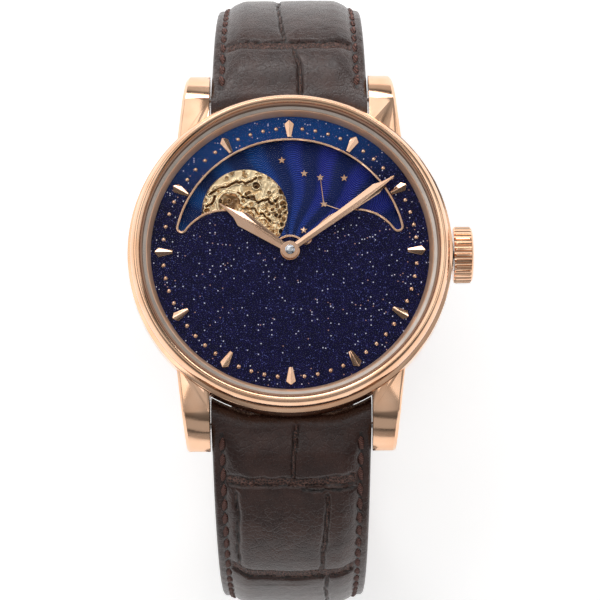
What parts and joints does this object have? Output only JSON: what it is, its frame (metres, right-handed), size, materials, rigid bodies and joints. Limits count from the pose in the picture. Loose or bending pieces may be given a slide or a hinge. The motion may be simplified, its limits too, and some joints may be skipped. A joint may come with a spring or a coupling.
{
  "type": "moon phase wristwatch",
  "caption": "Round dress wristwatch with a moon phase aperture, two ridged hands, a fluted crown, a display back over its wound movement and an unbuckled padded strap curled under it.",
  "frame": {"origin": "centre of the back crystal's flat outer face, on the axis of the hands", "axes": "+Z out of the dial along the axis of the hands, +Y towards twelve o'clock, +X towards the crown"},
  "size_m": [0.045, 0.0844, 0.0526],
  "materials": {
    "gold": "polished rose gold",
    "gold_satin": "fine brushed rose gold",
    "gold_moon": "textured rose gold",
    "crystal": "clear sapphire",
    "rubber": "matt",
    "dial": "sparkling dark blue glass",
    "disc": "blue lacquer over an engraved ground",
    "steel": "polished",
    "nickel": "striped nickel plate",
    "brass": "fine turned",
    "ruby": "polished ruby",
    "blue_steel": "heat blued steel",
    "leather": "padded, large scale grain"
  },
  "bodies": {
    "case": {"case_middle": "gold", "bezel": "gold", "flange_ring": "gold", "crystal": "crystal", "crystal_gasket": "rubber", "dial": "dial", "aperture_rim": "gold", "hour_markers": "gold", "minute_dots": "gold", "case_back_ring": "gold", "case_back_gasket": "rubber", "back_crystal": "crystal", "case_back_screws": "steel", "spring_bar_12": "steel", "spring_bar_6": "steel", "crown_tube": "steel", "movement_ring": "brass", "main_plate": "nickel", "barrel_bridge": "nickel", "train_bridge": "nickel", "balance_cock": "nickel", "pallet_bridge": "nickel", "bridge_screws": "blue_steel", "jewels": "ruby", "hairspring": "blue_steel"},
    "minute_hand": {"minute_hand": "gold", "cannon_pinion": "steel"},
    "hour_hand": {"hour_hand": "gold", "hour_wheel": "brass"},
    "minute_wheel": {"minute_wheel": "brass"},
    "moon_disc": {"moon_disc": "disc", "moons": "gold_moon", "moon_stars": "gold"},
    "barrel": {"barrel": "brass", "mainspring": "steel"},
    "centre_wheel": {"centre_wheel": "brass"},
    "third_wheel": {"third_wheel": "brass"},
    "fourth_wheel": {"fourth_wheel": "brass"},
    "escape_wheel": {"escape_wheel": "steel"},
    "pallet_fork": {"pallet_fork": "steel", "pallet_stones": "ruby"},
    "balance": {"balance_wheel": "brass", "balance_staff": "steel"},
    "ratchet": {"ratchet_wheel": "steel", "ratchet_screw": "blue_steel", "barrel_arbor": "steel"},
    "crown_wheel": {"crown_wheel": "steel"},
    "click": {"click": "steel"},
    "regulator": {"regulator": "steel"},
    "crown_seal": {"crown_gasket": "rubber"},
    "crown": {"crown": "gold", "winding_stem": "steel", "winding_pinion": "steel"},
    "strap_12": {"strap_12": "leather", "fixed_keeper": "leather"},
    "strap_6": {"strap_6": "leather"},
    "sliding_keeper": {"sliding_keeper": "leather"},
    "buckle": {"buckle_frame": "gold", "buckle_bar": "gold"},
    "tang": {"buckle_tang": "gold"}
  },
  "joints": [
    {"name": "minute_hand_turn", "type": "hinge", "parent": "case", "child": "minute_hand", "pos_m": [0, 0, 0.0079], "axis": [0, 0, 1], "continuous": true},
    {"name": "hour_hand_turn", "type": "hinge", "parent": "case", "child": "hour_hand", "pos_m": [0, 0, 0.0074], "axis": [0, 0, 1], "continuous": true},
    {"name": "minute_wheel_turn", "type": "hinge", "parent": "case", "child": "minute_wheel", "pos_m": [0, -0.00288, 0.0054], "axis": [0, 0, 1], "continuous": true},
    {"name": "moon_disc_turn", "type": "hinge", "parent": "case", "child": "moon_disc", "pos_m": [0, 0, 0.0061], "axis": [0, 0, 1], "continuous": true},
    {"name": "fourth_wheel_turn", "type": "hinge", "parent": "case", "child": "fourth_wheel", "pos_m": [-0.00726, -0.00494, 0.0032], "axis": [0, 0, 1], "continuous": true},
    {"name": "third_wheel_turn", "type": "hinge", "parent": "case", "child": "third_wheel", "pos_m": [-0.00448, -0.00163, 0.0026], "axis": [0, 0, 1], "continuous": true},
    {"name": "centre_wheel_turn", "type": "hinge", "parent": "case", "child": "centre_wheel", "pos_m": [0, 0, 0.0038], "axis": [0, 0, 1], "continuous": true},
    {"name": "barrel_turn", "type": "hinge", "parent": "case", "child": "barrel", "pos_m": [0.00348, 0.00604, 0.003], "axis": [0, 0, 1], "continuous": true},
    {"name": "escape_wheel_turn", "type": "hinge", "parent": "case", "child": "escape_wheel", "pos_m": [-0.00397, -0.0077, 0.0038], "axis": [0, 0, 1], "continuous": true},
    {"name": "pallet_fork_swing", "type": "hinge", "parent": "case", "child": "pallet_fork", "pos_m": [-0.0012, -0.00871, 0.0038], "axis": [0, 0, 1], "range_deg": [-4, 4]},
    {"name": "balance_swing", "type": "hinge", "parent": "case", "child": "balance", "pos_m": [0.00274, -0.00905, 0.003], "axis": [0, 0, 1], "range_deg": [-270, 270], "stiffness_Nm_per_rad": 0.0000004},
    {"name": "ratchet_turn", "type": "hinge", "parent": "case", "child": "ratchet", "pos_m": [0.00348, 0.00604, 0.0014], "axis": [0, 0, 1], "continuous": true},
    {"name": "crown_wheel_turn", "type": "hinge", "parent": "case", "child": "crown_wheel", "pos_m": [0.00931, 0.00115, 0.0014], "axis": [0, 0, 1], "continuous": true},
    {"name": "click_swing", "type": "hinge", "parent": "case", "child": "click", "pos_m": [0.00151, 0.01147, 0.0014], "axis": [0, 0, 1], "range_deg": [-8, 0]},
    {"name": "regulator_turn", "type": "hinge", "parent": "case", "child": "regulator", "pos_m": [0.00274, -0.00905, 0.0016], "axis": [0, 0, 1], "range_deg": [-8, 8]},
    {"name": "crown_pull", "type": "slide", "parent": "case", "child": "crown_seal", "axis": [1, 0, 0], "range_m": [0, 0.0012]},
    {"name": "crown_turn", "type": "hinge", "parent": "crown_seal", "child": "crown", "pos_m": [0.0225, 0, 0.0039], "axis": [1, 0, 0], "continuous": true},
    {"name": "strap_12_fold", "type": "hinge", "parent": "case", "child": "strap_12", "pos_m": [0, 0.0219, 0.0014], "axis": [1, 0, 0], "range_deg": [0, 60]},
    {"name": "strap_6_fold", "type": "hinge", "parent": "case", "child": "strap_6", "pos_m": [0, -0.0219, 0.0014], "axis": [1, 0, 0], "range_deg": [-60, 10]},
    {"name": "keeper_slide", "type": "slide", "parent": "strap_12", "child": "sliding_keeper", "axis": [0, 1, 0], "range_m": [-0.0034, 0.001]},
    {"name": "buckle_swing", "type": "hinge", "parent": "strap_12", "child": "buckle", "pos_m": [0, 0.00801, -0.03697], "axis": [1, 0, 0], "range_deg": [0, 55]},
    {"name": "tang_swing", "type": "hinge", "parent": "buckle", "child": "tang", "pos_m": [0, 0.00801, -0.03697], "axis": [1, 0, 0], "range_deg": [0, 45]}
  ],
  "couplings": [
    {"joint": "hour_hand_turn", "follows": "minute_hand_turn", "ratio": 0.083333},
    {"joint": "minute_wheel_turn", "follows": "minute_hand_turn", "ratio": -0.33333},
    {"joint": "moon_disc_turn", "follows": "minute_hand_turn", "ratio": 0.00070552},
    {"joint": "third_wheel_turn", "follows": "fourth_wheel_turn", "ratio": -0.125},
    {"joint": "centre_wheel_turn", "follows": "fourth_wheel_turn", "ratio": 0.016667},
    {"joint": "barrel_turn", "follows": "fourth_wheel_turn", "ratio": -0.0023148},
    {"joint": "escape_wheel_turn", "follows": "fourth_wheel_turn", "ratio": -10},
    {"joint": "crown_wheel_turn", "follows": "crown_turn", "ratio": 0.375},
    {"joint": "ratchet_turn", "follows": "crown_turn", "ratio": -0.27273}
  ]
}
